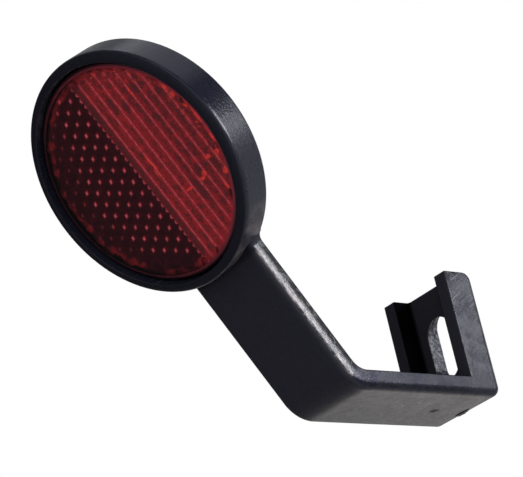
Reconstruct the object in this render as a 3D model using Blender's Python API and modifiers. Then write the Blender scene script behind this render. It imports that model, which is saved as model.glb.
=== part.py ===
"""Bicycle rear reflector: a red prismatic lens in a one-piece moulded bracket.

The bracket is one moulding. A round cup holds the lens, a flat arm runs down from
the cup, bends forward into a sloping leg, and ends in a channel-shaped foot with a
slot for the fixing bolt. The lens is one moulding too: a flat disc with a rounded
shoulder, a skirt that stands in the cup, and a field of hexagonal corner-cube prisms
on its back, in two halves that lean opposite ways.

Everything is laid out from the centre of the cup's front rim: the lens faces -Y, +Z
is up and the arm hangs along -Z. The whole part is then carried by an empty, so that
the world origin is the bolting face of the foot, just above the slot.
"""
import bmesh
import bpy
from math import asin, atan, cos, pi, radians, sin, sqrt, tan
from mathutils import Matrix, Vector

# Cup
CUP_RADIUS = 0.0280
CUP_DEPTH = 0.00885
CUP_WALL = 0.0023
CUP_FLOOR = 0.0018
CUP_FRONT_ROUND = 0.0021
CUP_BACK_ROUND = 0.0008
LIP_ROUND = 0.0003

# Strip that makes the arm, the leg and the back of the foot
STRIP_WIDTH = 0.0213
STRIP_THICKNESS = 0.0042
STRIP_OUTER_ROUND = 0.0016
ARM_SETBACK = 0.0045
ARM_LENGTH = 0.0635
LEG_SLOPE = radians(33.8)
LEG_LENGTH = 0.0439
BEND_INNER_RADIUS = 0.0045
HEEL_RADIUS = 0.0022
ARM_ROOT_FILLET = 0.0022

# Channel foot
FOOT_HEIGHT = 0.0299
FOOT_DEPTH = 0.0086
WEB_THICKNESS = 0.0039
FLANGE_THICKNESS = 0.0036
CHANNEL_SILL = 0.0004
CHANNEL_CORNER = 0.0005
SLOT_WIDTH = 0.0078
SLOT_LENGTH = 0.0147
SLOT_RISE = 0.0082
SLOT_FLARE = 0.0022
FIXING_ABOVE_SLOT = 0.0035
FOOT_TOP_ROUND = 0.0018

# Gate mark on the heel: the stub that is left where the plastic ran into the mould
GATE_LENGTH = 0.0042
GATE_WIDTH = 0.0012
GATE_HEIGHT = 0.0003
GATE_OFFSET = 0.0018
GATE_ROUND_HEEL = radians(38.0)

# Lens
LENS_CLEARANCE = 0.0003
LENS_RECESS = 0.0015
LENS_WEB = 0.0019
LENS_SHOULDER = 0.0011
SKIRT_THICKNESS = 0.0016
PRISM_PITCH = 0.00311
PRISM_TILT = radians(7.0)
PRISM_MARGIN = 0.0006
ZONE_SPLIT = -0.00134
LENS_TURN = radians(1.42)

# Flats round each curve
CUP_STEPS = 96
LENS_STEPS = 96
SLOT_STEPS = 14
BEND_STEPS = 8
ROUND_STEPS = 6
EDGE_STEPS = 4
SMALL_STEPS = 3
CORNER_STEPS = 2
GATE_STEPS = 12

# How far a cutter runs past the face it opens, and how deep joined shapes sink in
CUT_PAST = 0.0015
CUP_SINK = 0.0009
ARM_SINK = 0.00005
FILLET_INSET = 0.00015
GATE_SINK = 0.0008
PRISM_ROOT = 0.0006
PRISM_OVERLAP = 0.00002

# Points nearer than this are one point, faces flatter than this are one face
AXIS_WELD = 0.00001
WELD = 0.000001
CUT_WELD = 0.0000001
FLAT_ANGLE = radians(0.5)

# Values that follow from the ones above
BORE_RADIUS = CUP_RADIUS - CUP_WALL
FLOOR_DEPTH = CUP_DEPTH - CUP_FLOOR
LENS_RADIUS = BORE_RADIUS - LENS_CLEARANCE
PRISM_SIDE = PRISM_PITCH / sqrt(3)
CORNER_ANGLE = atan(sqrt(2))
LEG_DIRECTION = Vector((0.0, cos(LEG_SLOPE), -sin(LEG_SLOPE)))
FOOT_DIRECTION = Vector((0.0, sin(LEG_SLOPE), cos(LEG_SLOPE)))
ELBOW = Vector((0.0, ARM_SETBACK, -ARM_LENGTH))
HEEL = ELBOW + LEG_DIRECTION * LEG_LENGTH
FIXING_RISE = SLOT_RISE + SLOT_LENGTH + FIXING_ABOVE_SLOT
FIXING_POINT = HEEL + FOOT_DIRECTION * FIXING_RISE


def clear_scene():
    """Start from an empty scene."""
    for item in list(bpy.data.objects):
        bpy.data.objects.remove(item, do_unlink=True)


def new_collection(name):
    """A collection linked to the scene."""
    collection = bpy.data.collections.new(name)
    bpy.context.scene.collection.children.link(collection)
    return collection


def plastic(name, colour, roughness):
    """A moulded plastic."""
    material = bpy.data.materials.new(name)
    material.use_nodes = True
    shader = material.node_tree.nodes["Principled BSDF"]
    shader.inputs["Base Color"].default_value = (*colour, 1.0)
    shader.inputs["Roughness"].default_value = roughness
    shader.inputs["Metallic"].default_value = 0.0
    return material


def add_object(name, mesh, collection, parent):
    """An object of its own for a mesh, carried by the datum."""
    item = bpy.data.objects.new(name, mesh)
    collection.objects.link(item)
    item.parent = parent
    return item


def as_cutter(item):
    """A shape that only cuts or joins is drawn as wire and never rendered."""
    item.hide_render = True
    item.display_type = "WIRE"
    return item


def boolean(item, operand, operation, name, self_union=False):
    """Join or cut one solid with another."""
    modifier = item.modifiers.new(name, "BOOLEAN")
    modifier.object = operand
    modifier.operation = operation
    modifier.solver = "EXACT"
    modifier.use_self = self_union


def arc(centre, radius, start, end, steps):
    """Points on a circular arc, both ends included, angles in radians."""
    turn = (end - start) / steps
    angles = [start + turn * step for step in range(steps + 1)]
    return [(centre[0] + radius * cos(a), centre[1] + radius * sin(a)) for a in angles]


def outline_mesh(name, points, half_depth):
    """A closed flat outline as a filled 2D curve, extruded both ways, then made a mesh."""
    curve = bpy.data.curves.new(name, "CURVE")
    curve.dimensions = "2D"
    curve.fill_mode = "BOTH"
    curve.extrude = half_depth
    spline = curve.splines.new("POLY")
    spline.points.add(len(points) - 1)
    for point, (across, up) in zip(spline.points, points):
        point.co = (across, up, 0.0, 1.0)
    spline.use_cyclic_u = True
    holder = bpy.data.objects.new(name + "_curve", curve)
    bpy.context.scene.collection.objects.link(holder)
    depsgraph = bpy.context.evaluated_depsgraph_get()
    mesh = bpy.data.meshes.new_from_object(holder.evaluated_get(depsgraph))
    bpy.data.objects.remove(holder, do_unlink=True)
    mesh.name = name
    return mesh


def tidy_prism(mesh):
    """Weld an extruded outline and merge its flat faces into single ones."""
    work = bmesh.new()
    work.from_mesh(mesh)
    bmesh.ops.remove_doubles(work, verts=work.verts, dist=WELD)
    bmesh.ops.dissolve_limit(work, angle_limit=FLAT_ANGLE, verts=work.verts, edges=work.edges)
    bmesh.ops.recalc_face_normals(work, faces=work.faces)
    return work


def finish_mesh(work, mesh):
    """Store the worked shape in its mesh."""
    work.to_mesh(mesh)
    work.free()


def turned_object(name, profile, steps, collection, parent):
    """A profile of (radius, depth) turned about the cup's axis, front end first."""
    mesh = bpy.data.meshes.new(name)
    work = bmesh.new()
    line = [work.verts.new((radius, 0.0, -depth)) for radius, depth in profile]
    for first, second in zip(line, line[1:]):
        work.edges.new((first, second))
    finish_mesh(work, mesh)
    item = add_object(name, mesh, collection, parent)
    item.rotation_euler = (pi / 2, 0.0, 0.0)
    screw = item.modifiers.new("turn", "SCREW")
    screw.axis = "Z"
    screw.angle = 2 * pi
    screw.steps = steps
    screw.render_steps = steps
    screw.use_merge_vertices = True
    screw.merge_threshold = AXIS_WELD
    return item


def cup_blank(collection, parent):
    """The cup before it is bored: a disc with a rounded front rim and back edge."""
    front_centre = (CUP_RADIUS - CUP_FRONT_ROUND, CUP_FRONT_ROUND)
    back_centre = (CUP_RADIUS - CUP_BACK_ROUND, CUP_DEPTH - CUP_BACK_ROUND)
    front = arc(front_centre, CUP_FRONT_ROUND, -pi / 2, 0, ROUND_STEPS)
    back = arc(back_centre, CUP_BACK_ROUND, 0, pi / 2, SMALL_STEPS)
    profile = [(0.0, 0.0)] + front + back + [(0.0, CUP_DEPTH)]
    return turned_object("bracket", profile, CUP_STEPS, collection, parent)


def cup_bore(collection, parent):
    """The room for the lens, with the small round inside the lip."""
    mouth_centre = (BORE_RADIUS + LIP_ROUND, LIP_ROUND)
    mouth = arc(mouth_centre, LIP_ROUND, -pi / 2, -pi, SMALL_STEPS)
    above = [(0.0, -CUT_PAST), (BORE_RADIUS + LIP_ROUND, -CUT_PAST)]
    profile = above + mouth + [(BORE_RADIUS, FLOOR_DEPTH), (0.0, FLOOR_DEPTH)]
    return as_cutter(turned_object("cup_bore", profile, CUP_STEPS, collection, parent))


def side_runs():
    """The bracket's two long outlines seen from its side, as (depth, height) points.

    The outer run goes down the arm's front, round the bend, under the leg, round the
    heel, up the foot's back and over its rounded top corner. The inner run comes back
    down the foot's front at its full depth, before the channel is cut into it, then
    along the leg and up the arm.
    """
    def point(before_heel, above_leg):
        place = HEEL - LEG_DIRECTION * before_heel + FOOT_DIRECTION * above_leg
        return (place.y, place.z)

    arm_top = -(BORE_RADIUS - CUP_WALL)
    outer_radius = BEND_INNER_RADIUS + STRIP_THICKNESS
    turn = pi / 2 - LEG_SLOPE
    bend_centre = (ARM_SETBACK + outer_radius, -ARM_LENGTH + outer_radius * tan(turn / 2))
    outer_bend = arc(bend_centre, outer_radius, pi, pi + turn, BEND_STEPS)
    inner_bend = arc(bend_centre, BEND_INNER_RADIUS, pi + turn, pi, BEND_STEPS)
    heel_centre = point(HEEL_RADIUS, HEEL_RADIUS)
    heel = arc(heel_centre, HEEL_RADIUS, -pi / 2 - LEG_SLOPE, -LEG_SLOPE, ROUND_STEPS)
    top_centre = point(FOOT_TOP_ROUND, FOOT_HEIGHT - FOOT_TOP_ROUND)
    foot_top = arc(top_centre, FOOT_TOP_ROUND, -LEG_SLOPE, pi / 2 - LEG_SLOPE, EDGE_STEPS)
    foot_front = [point(FOOT_DEPTH, FOOT_HEIGHT), point(FOOT_DEPTH, STRIP_THICKNESS)]
    outer = [(ARM_SETBACK, arm_top)] + outer_bend + heel + foot_top
    inner = foot_front + inner_bend + [(ARM_SETBACK + STRIP_THICKNESS, arm_top)]
    return outer, inner


def lies_on(edge, run):
    """True for an edge of one side face whose two ends are both points of the run."""
    first, second = edge.verts
    if abs(first.co.z - second.co.z) > WELD:
        return False
    places = [Vector(place) for place in run]
    return all(min((vert.co.xy - place).length for place in places) < WELD for vert in edge.verts)


def strip_blank(collection, parent):
    """Arm, leg and full-depth foot in one, with the long outer edges rounded over."""
    outer, inner = side_runs()
    mesh = outline_mesh("strip_blank", outer + inner, STRIP_WIDTH / 2)
    work = tidy_prism(mesh)
    edges = [edge for edge in work.edges if lies_on(edge, outer)]
    bmesh.ops.bevel(work, geom=edges, offset=STRIP_OUTER_ROUND, offset_type="OFFSET",
                    segments=EDGE_STEPS, profile=0.5, affect="EDGES", clamp_overlap=False)
    finish_mesh(work, mesh)
    item = add_object("strip_blank", mesh, collection, parent)
    # the outline's depth, height and width lie along Y, Z and X
    item.matrix_local = Matrix(((0, 0, 1, 0), (1, 0, 0, 0), (0, 1, 0, 0), (0, 0, 0, 1)))
    return as_cutter(item)


def arm_root(collection, parent):
    """The two small fillets where the arm's sides run into the cup's wall."""
    side = STRIP_WIDTH / 2 - ARM_SINK
    centre_x = side + ARM_ROOT_FILLET
    centre_distance = CUP_RADIUS + ARM_ROOT_FILLET
    centre_z = -sqrt(centre_distance ** 2 - centre_x ** 2)
    to_cup = pi - asin(-centre_z / centre_distance)
    fillet = arc((centre_x, centre_z), ARM_ROOT_FILLET, to_cup, pi, ROUND_STEPS)
    inward = 1.0 - CUP_SINK / CUP_RADIUS
    inside = (fillet[0][0] * inward, fillet[0][1] * inward)
    right = [inside] + fillet
    left = [(-across, height) for across, height in reversed(right)]
    front = ARM_SETBACK + STRIP_OUTER_ROUND + FILLET_INSET
    back = ARM_SETBACK + STRIP_THICKNESS - FILLET_INSET
    mesh = outline_mesh("arm_root", right + left, (back - front) / 2)
    finish_mesh(tidy_prism(mesh), mesh)
    item = add_object("arm_root", mesh, collection, parent)
    item.rotation_euler = (pi / 2, 0.0, 0.0)
    item.location = (0.0, (front + back) / 2, 0.0)
    return as_cutter(item)


def foot_frame(rise, setback):
    """A matrix with Z along the bolt (out of the back), Y up the foot and X across it."""
    place = HEEL + FOOT_DIRECTION * rise - LEG_DIRECTION * setback
    across = FOOT_DIRECTION.cross(LEG_DIRECTION)
    columns = Matrix((across, FOOT_DIRECTION, LEG_DIRECTION)).transposed()
    return Matrix.Translation(place) @ columns.to_4x4()


def channel_cutter(collection, parent):
    """The trough between the flanges, open to the front and at the top."""
    bottom = STRIP_THICKNESS + CHANNEL_SILL
    height = FOOT_HEIGHT - bottom + CUT_PAST
    depth = FOOT_DEPTH - WEB_THICKNESS + CUT_PAST
    width = STRIP_WIDTH - 2 * FLANGE_THICKNESS
    mesh = bpy.data.meshes.new("channel_cutter")
    work = bmesh.new()
    bmesh.ops.create_cube(work, size=1.0)
    bmesh.ops.scale(work, vec=(width, height, depth), verts=work.verts)
    deep = [edge for edge in work.edges if all(vert.co.z > 0 for vert in edge.verts)]
    inner = [edge for edge in deep if not all(vert.co.y > 0 for vert in edge.verts)]
    bmesh.ops.bevel(work, geom=inner, offset=CHANNEL_CORNER, offset_type="OFFSET",
                    segments=CORNER_STEPS, profile=0.5, affect="EDGES")
    finish_mesh(work, mesh)
    item = add_object("channel_cutter", mesh, collection, parent)
    item.matrix_local = foot_frame(bottom + height / 2, WEB_THICKNESS + depth / 2)
    return as_cutter(item)


def slot_cutter(collection, parent):
    """The bolt's slot through the web: straight sides, round ends and a flared top.

    The top end is sheared, so that it stands higher on the back than in the channel.
    """
    radius = SLOT_WIDTH / 2
    half_run = SLOT_LENGTH / 2 - radius
    top = arc((0.0, half_run), radius, 0.0, pi, SLOT_STEPS)
    bottom = arc((0.0, -half_run), radius, pi, 2 * pi, SLOT_STEPS)
    mesh = outline_mesh("slot_cutter", top + bottom, WEB_THICKNESS / 2 + CUT_PAST)
    work = tidy_prism(mesh)
    for vert in work.verts:
        if vert.co.y > 0:
            vert.co.y += SLOT_FLARE * (vert.co.z / WEB_THICKNESS + 0.5)
    finish_mesh(work, mesh)
    item = add_object("slot_cutter", mesh, collection, parent)
    item.matrix_local = foot_frame(SLOT_RISE + SLOT_LENGTH / 2, WEB_THICKNESS / 2)
    return as_cutter(item)


def gate_mark(collection, parent):
    """The short oval stub on the heel's round, a little to the left of the middle."""
    mesh = bpy.data.meshes.new("gate_mark")
    work = bmesh.new()
    bmesh.ops.create_cone(work, cap_ends=True, segments=GATE_STEPS, depth=GATE_HEIGHT + GATE_SINK,
                          radius1=GATE_WIDTH / 2, radius2=GATE_WIDTH / 2)
    bmesh.ops.scale(work, vec=(GATE_LENGTH / GATE_WIDTH, 1.0, 1.0), verts=work.verts)
    finish_mesh(work, mesh)
    item = add_object("gate_mark", mesh, collection, parent)
    to_underside = Matrix.Rotation(pi / 2 - GATE_ROUND_HEEL, 4, "X")
    along_heel = foot_frame(HEEL_RADIUS, HEEL_RADIUS) @ to_underside
    reach = HEEL_RADIUS + (GATE_HEIGHT - GATE_SINK) / 2
    item.matrix_local = along_heel @ Matrix.Translation((GATE_OFFSET, 0.0, reach))
    return as_cutter(item)


def build_bracket(parts, cutters, datum, material):
    """The bracket: cup, strip, fillets and gate mark joined, then bored, channelled and slotted."""
    bracket = cup_blank(parts, datum)
    boolean(bracket, strip_blank(cutters, datum), "UNION", "arm and foot")
    boolean(bracket, arm_root(cutters, datum), "UNION", "arm fillets")
    boolean(bracket, gate_mark(cutters, datum), "UNION", "gate mark")
    boolean(bracket, cup_bore(cutters, datum), "DIFFERENCE", "lens bore")
    boolean(bracket, channel_cutter(cutters, datum), "DIFFERENCE", "channel")
    boolean(bracket, slot_cutter(cutters, datum), "DIFFERENCE", "bolt slot")
    bracket.data.materials.append(material)


def lens_body(collection, parent):
    """The lens without its prisms: a disc with a rounded shoulder and a skirt behind it."""
    inside = LENS_RECESS + LENS_WEB
    foot = FLOOR_DEPTH - LENS_CLEARANCE
    bore = LENS_RADIUS - SKIRT_THICKNESS
    shoulder_centre = (LENS_RADIUS - LENS_SHOULDER, LENS_RECESS + LENS_SHOULDER)
    shoulder = arc(shoulder_centre, LENS_SHOULDER, -pi / 2, 0, ROUND_STEPS)
    skirt = [(LENS_RADIUS, foot), (bore, foot), (bore, inside)]
    profile = [(0.0, LENS_RECESS)] + shoulder + skirt + [(0.0, inside)]
    return turned_object("reflector_lens", profile, LENS_STEPS, collection, parent)


def connected_verts(seed):
    """Every vertex of the body that a vertex belongs to."""
    found = {seed}
    front = [seed]
    while front:
        vert = front.pop()
        for edge in vert.link_edges:
            other = edge.other_vert(vert)
            if other not in found:
                found.add(other)
                front.append(other)
    return list(found)


def corner_normals(lean):
    """The outward normals of a cube corner's three faces, leaning about the height axis.

    The faces meet at right angles. Each normal stands at the corner angle to the
    corner's own axis, a third of a turn apart, one of them to the side it leans from.
    """
    start = pi if lean > 0 else 0.0
    normals = []
    for third in range(3):
        around = start + third * 2 * pi / 3
        flat = sin(CORNER_ANGLE)
        normal = Vector((flat * cos(around), flat * sin(around), -cos(CORNER_ANGLE)))
        normal.rotate(Matrix.Rotation(lean, 3, "Y"))
        normals.append(normal)
    return normals


def add_prism(work, centre, lean):
    """One hexagonal pin whose free end is cut to a cube corner."""
    root = LENS_RECESS + LENS_WEB - PRISM_ROOT
    tip = LENS_RECESS + LENS_WEB + PRISM_SIDE * tan(CORNER_ANGLE)
    length = tip + PRISM_SIDE - root
    radius = PRISM_SIDE + PRISM_OVERLAP
    pin = bmesh.ops.create_cone(work, cap_ends=True, segments=6, depth=length,
                                radius1=radius, radius2=radius)
    verts = pin["verts"]
    bmesh.ops.rotate(work, verts=verts, cent=(0, 0, 0), matrix=Matrix.Rotation(pi / 2, 3, "Z"))
    middle = -(root + length / 2)
    bmesh.ops.translate(work, verts=verts, vec=(centre[0], centre[1], middle))
    apex = Vector((centre[0], centre[1], -tip))
    for normal in corner_normals(lean):
        faces = {face for vert in verts for face in vert.link_faces}
        edges = {edge for face in faces for edge in face.edges}
        geometry = list(verts) + list(edges) + list(faces)
        cut = bmesh.ops.bisect_plane(work, geom=geometry, dist=CUT_WELD, plane_co=apex,
                                     plane_no=normal, clear_outer=True)
        rim = [item for item in cut["geom_cut"] if isinstance(item, bmesh.types.BMEdge)]
        bmesh.ops.edgeloop_fill(work, edges=rim)
        verts = connected_verts(rim[0].verts[0])


def prism_centres():
    """Centres of the hexagonal pins that fit whole inside the skirt.

    Columns stand a pitch times cos 30 apart, each staggered by half a pitch, counted
    from the line that splits the field in two.
    """
    field = LENS_RADIUS - SKIRT_THICKNESS - PRISM_MARGIN - PRISM_SIDE
    spacing = PRISM_PITCH * cos(pi / 6)
    columns = int(LENS_RADIUS / spacing) + 1
    rows = int(LENS_RADIUS / PRISM_PITCH) + 1
    centres = []
    for column in range(-columns, columns + 1):
        across = ZONE_SPLIT + (column + 0.5) * spacing
        stagger = PRISM_PITCH / 2 if column % 2 else 0.0
        for row in range(-rows, rows + 1):
            up = row * PRISM_PITCH + stagger
            if across ** 2 + up ** 2 < field ** 2:
                centres.append((across, up))
    return centres


def prism_field(collection, parent):
    """All the prism pins: those left of the split lean one way, the others the other way."""
    mesh = bpy.data.meshes.new("prism_field")
    work = bmesh.new()
    for centre in prism_centres():
        lean = PRISM_TILT if centre[0] < ZONE_SPLIT else -PRISM_TILT
        add_prism(work, centre, lean)
    bmesh.ops.recalc_face_normals(work, faces=work.faces)
    finish_mesh(work, mesh)
    return as_cutter(add_object("prism_field", mesh, collection, parent))


def build_lens(parts, cutters, datum, material):
    """The lens, turned a little in its cup as it was seated."""
    lens = lens_body(parts, datum)
    field = prism_field(cutters, datum)
    boolean(lens, field, "UNION", "corner-cube prisms", self_union=True)
    seat = Matrix.Rotation(pi / 2, 4, "X") @ Matrix.Rotation(LENS_TURN, 4, "Z")
    lens.matrix_local = seat
    field.matrix_local = seat
    lens.data.materials.append(material)


def main():
    """Build the part."""
    clear_scene()
    parts = new_collection("bicycle_rear_reflector")
    cutters = new_collection("cutters")
    datum = bpy.data.objects.new("cup_front_centre", None)
    parts.objects.link(datum)
    datum.location = -FIXING_POINT
    black = plastic("black_bracket_plastic", (0.022, 0.022, 0.025), 0.42)
    red = plastic("red_lens_plastic", (0.42, 0.012, 0.016), 0.08)
    build_bracket(parts, cutters, datum, black)
    build_lens(parts, cutters, datum, red)


main()
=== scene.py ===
"""Bicycle rear reflector: the finished look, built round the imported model.

The bracket is rebuilt as smooth computed surfaces: a turned cup, a strip that is swept
down the arm, round the bend and under the leg to the heel, and a channel foot with its
bolt slot. The lens is a clear skin over a field of moulded prism cells.

Lengths are metres. Shapes are laid out from the centre of the cup's front rim, with x
across, y the depth behind the rim and z up, and are then moved so that the origin is
the foot's bolting face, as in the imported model.
"""

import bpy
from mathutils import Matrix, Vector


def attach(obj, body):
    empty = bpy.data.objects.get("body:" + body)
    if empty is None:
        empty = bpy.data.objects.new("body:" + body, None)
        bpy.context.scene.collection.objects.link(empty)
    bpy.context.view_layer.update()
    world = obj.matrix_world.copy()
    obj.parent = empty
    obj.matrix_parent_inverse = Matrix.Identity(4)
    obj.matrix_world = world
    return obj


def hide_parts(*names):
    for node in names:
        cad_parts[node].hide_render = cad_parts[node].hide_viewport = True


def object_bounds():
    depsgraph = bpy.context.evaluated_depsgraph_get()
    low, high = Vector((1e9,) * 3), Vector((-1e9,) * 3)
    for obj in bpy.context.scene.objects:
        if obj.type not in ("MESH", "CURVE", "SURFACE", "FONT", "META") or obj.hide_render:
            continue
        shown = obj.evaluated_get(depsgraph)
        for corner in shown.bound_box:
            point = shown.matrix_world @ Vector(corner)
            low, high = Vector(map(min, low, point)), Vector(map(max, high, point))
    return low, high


bl_info = {
    "name": "Bicycle Rear Reflector",
    "version": (1, 0, 0),
    "blender": (4, 5, 0),
    "location": "View3D > Sidebar > Reflector",
    "description": "Builds a prismatic rear reflector and its bracket round the packed model",
    "category": "Object",
}

from functools import reduce
from math import atan2, cos, pi, radians, sin, sqrt, tan

import bmesh
import bpy
import numpy as np
from bpy.props import FloatProperty, FloatVectorProperty, PointerProperty
from mathutils import Matrix, Vector

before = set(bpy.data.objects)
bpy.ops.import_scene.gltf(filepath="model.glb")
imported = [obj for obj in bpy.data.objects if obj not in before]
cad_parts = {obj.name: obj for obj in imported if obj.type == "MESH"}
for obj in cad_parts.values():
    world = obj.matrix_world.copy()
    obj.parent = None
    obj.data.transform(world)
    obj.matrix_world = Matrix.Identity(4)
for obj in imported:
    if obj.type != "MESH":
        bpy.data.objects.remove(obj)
CAD_BOX = [list(corner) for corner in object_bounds()]
BODY = "root"

# Lengths in metres that only the meshes need
WELD = 2e-6             # points nearer than this become one
TINY = 1e-7             # what counts as lying on a plane
GUARD = 0.0002          # from a round's end to the extra row that keeps its shading to itself
BACK_MARGIN = 0.0003    # past the foot's long back rounds, what still moves with its back
ROOT_END = 0.001        # from the cup down to where the arm's root fillet is over
ROOT_COVER = 0.0012     # how deep in the cup's wall the arm's upper end stays
PLATE_BELOW = 0.0014    # how far the plates round the slot reach past its lower end
PLATE_ABOVE = 0.0012    # how far they reach past its upper end
BACKING_INSET = 0.0002  # the disc behind the cells, from the lens's side
BACKING_GAP = 0.0006    # the same disc, from the cells
# Waves of the torn stub across and round the heel, in radians per metre
TORN_WAVES = (4200.0, 5100.0)


def length(name, description, default):
    """A length in metres that the sidebar can set."""
    return FloatProperty(name=name, description=description, default=default, unit="LENGTH", precision=5)


def angle(name, description, degrees):
    """An angle that the sidebar can set."""
    return FloatProperty(name=name, description=description, default=radians(degrees), unit="ROTATION")


def colour(name, description, default):
    """A linear colour that the sidebar can set."""
    return FloatVectorProperty(name=name, description=description, default=default, size=3,
                               min=0.0, max=1.0, subtype="COLOR")


def amount(name, description, default):
    """A plain number that the sidebar can set."""
    return FloatProperty(name=name, description=description, default=default, precision=4)


class CupSettings(bpy.types.PropertyGroup):
    """The round cup that holds the lens."""

    radius: length("Radius", "Outside radius of the cup", 0.0280)
    depth: length("Depth", "From the front rim to the back", 0.00885)
    wall: length("Wall", "Thickness of the cup's wall", 0.0023)
    floor: length("Floor", "Thickness of the cup's floor", 0.0018)
    front_round: length("Front round", "Width of the rim's outer round", 0.0021)
    front_drop: length("Front drop", "Depth of the rim's outer round", 0.00178)
    back_round: length("Back round", "Radius of the back edge", 0.0008)
    lip_round: length("Lip round", "Radius of the rim's inner edge", 0.0003)


class StripSettings(bpy.types.PropertyGroup):
    """The flat strip that makes the arm and the leg."""

    width: length("Width", "Across the arm and the leg", 0.0213)
    thickness: length("Thickness", "Through the arm and the leg", 0.0042)
    outer_round: length("Outer round", "Radius of the long outer edges", 0.0016)
    crown: length("Crown", "Width of the gently crowned part of the sides", 0.0016)
    crown_turn: angle("Crown turn", "How far the sides are turned at its start", 9.0)
    inner_round: length("Inner round", "Radius of the long inner edges", 0.0003)
    setback: length("Setback", "Arm's front behind the cup's rim", 0.0045)
    arm_length: length("Arm length", "Cup's centre to the elbow's corner", 0.0635)
    leg_slope: angle("Leg slope", "Leg's fall from the level", 33.8)
    leg_length: length("Leg length", "Elbow's corner to the heel's corner", 0.0439)
    bend_radius: length("Bend radius", "Inner radius of the bend", 0.0045)
    heel_radius: length("Heel radius", "Radius of the heel", 0.0022)
    root_fillet: length("Root fillet", "Where the arm's sides meet the cup", 0.0022)


class FootSettings(bpy.types.PropertyGroup):
    """The channel-shaped foot with the bolt's slot."""

    height: length("Height", "Heel's corner to the foot's top", 0.0299)
    depth: length("Depth", "Back face to the flanges' front edges", 0.0086)
    web: length("Web", "Thickness of the slotted back", 0.0039)
    flange: length("Flange", "Thickness of each flange", 0.0036)
    sill: length("Sill", "Step from the leg up to the channel's floor", 0.0004)
    corner_round: length("Corner round", "Fillet inside the channel", 0.0005)
    edge_round: length("Edge round", "Radius of the foot's small edges", 0.00025)
    slot_width: length("Slot width", "Across the slot", 0.0078)
    slot_length: length("Slot length", "End to end of the slot", 0.0147)
    slot_rise: length("Slot rise", "Heel's corner to the slot's lower end", 0.0082)
    slot_flare: length("Slot flare", "How much higher the slot ends on the back", 0.0022)
    fixing_gap: length("Fixing gap", "Slot's upper end to the origin", 0.0035)
    top_round: length("Top round", "Radius of the back's top corner", 0.0019)


class GateSettings(bpy.types.PropertyGroup):
    """The stub on the heel, where the plastic ran into the mould."""

    length: length("Length", "Across the heel", 0.0042)
    width: length("Width", "Round the heel", 0.0012)
    height: length("Height", "Above the heel's round", 0.0003)
    offset: length("Offset", "From the middle towards the left", 0.0018)
    round_heel: angle("Place", "Turn from the leg's underside towards the back", 38.0)


class LensSettings(bpy.types.PropertyGroup):
    """The prismatic lens."""

    radius: length("Radius", "Outside radius of the lens", 0.0254)
    recess: length("Recess", "Front face behind the cup's rim", 0.0015)
    shoulder: length("Shoulder", "Radius of the front edge", 0.0011)
    rim_width: length("Rim width", "Plain band outside the window", 0.00015)
    cell_depth: length("Cell depth", "Prism cells behind the cup's rim", 0.0025)
    cell_relief: length("Cell relief", "Depth of the cells' corners", 0.00008)
    pitch: length("Pitch", "Distance between neighbouring cells", 0.003106)
    split: length("Split", "Border between the two halves, from the middle", -0.00070)
    row_offset: length("Row offset", "Rows of dots above the middle", 0.00080)
    turn: angle("Turn", "How far the lens sits turned in its cup", 1.42)


class FinishSettings(bpy.types.PropertyGroup):
    """Colours and gloss."""

    plastic: colour("Plastic", "Black moulded plastic", (0.0052, 0.0054, 0.0096))
    plastic_worn: colour("Scuffed plastic", "Where the plastic is scuffed pale", (0.20, 0.20, 0.22))
    # painted sheen: a warm grey that stands in for light on the arm's front edge and on the leg's underside
    painted_sheen: colour("Rubbed plastic", "Warm grey of the arm's rubbed edge", (0.34, 0.29, 0.27))
    plastic_roughness: amount("Plastic roughness", "Roughness of the moulded skin", 0.21)
    matt_roughness: amount("Matt roughness", "Roughness of the faces that look forward", 0.80)
    plastic_gloss: amount("Plastic gloss", "How strongly the skin mirrors, 0.5 for a common plastic", 0.15)
    # Lens colours: the prisms' returned light is painted into them; dots, halos, lines, flares and the
    # bright bands are painted glints and reflections
    dark: colour("Dark cells", "Between the dots", (0.022, 0.0035, 0.0066))
    maroon: colour("Maroon cells", "Round the dots", (0.078, 0.0062, 0.0105))
    halo: colour("Halo", "Crimson edge of each dot", (0.205, 0.0100, 0.0165))
    dot: colour("Dots", "The pins' bright tips", (0.72, 0.125, 0.160))
    band: colour("Bands", "Cells of the bright half", (0.385, 0.0215, 0.0290))
    band_dark: colour("Dark bands", "Grey-brown cells of the bright half", (0.080, 0.0185, 0.0230))
    line: colour("Lines", "Bright lines between the columns", (0.64, 0.100, 0.126))
    flare: colour("Flare", "Cells that send light back", (0.98, 0.066, 0.050))
    # the lens rim's inner side is painted lit at the right and shaded at the left, and painted shade at the
    # cup
    rim: colour("Rim", "Inner side of the lens's plain edge at the right", (0.150, 0.0180, 0.0300))
    rim_shaded_left: colour("Left rim", "Inner side of the lens's plain edge at the left", (0.014, 0.0030, 0.0050))
    rim_painted_shade: colour("Dark rim", "Outer side of the lens's plain edge", (0.006, 0.0035, 0.0050))


class StudioSettings(bpy.types.PropertyGroup):
    """Floor, lights and camera."""

    floor_gap: length("Floor gap", "Floor below the object", 0.12)
    key: amount("Key", "Watts of the light behind and above", 1.15)
    side: amount("Side", "Watts of the light behind, level with the foot", 2.32)
    strip: amount("Strip", "Watts of the narrow light at the right", 21.0)
    fill: amount("Fill", "Watts of the light behind at the left", 0.42)
    front: amount("Front", "Watts of the light before the lens", 19.5)
    under: amount("Under", "Watts of the small light below the heel", 0.0128)
    room: amount("Room", "Brightness of the room", 0.06)
    lens_length: FloatProperty(name="Lens", description="Focal length in mm", default=146.935)


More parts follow.
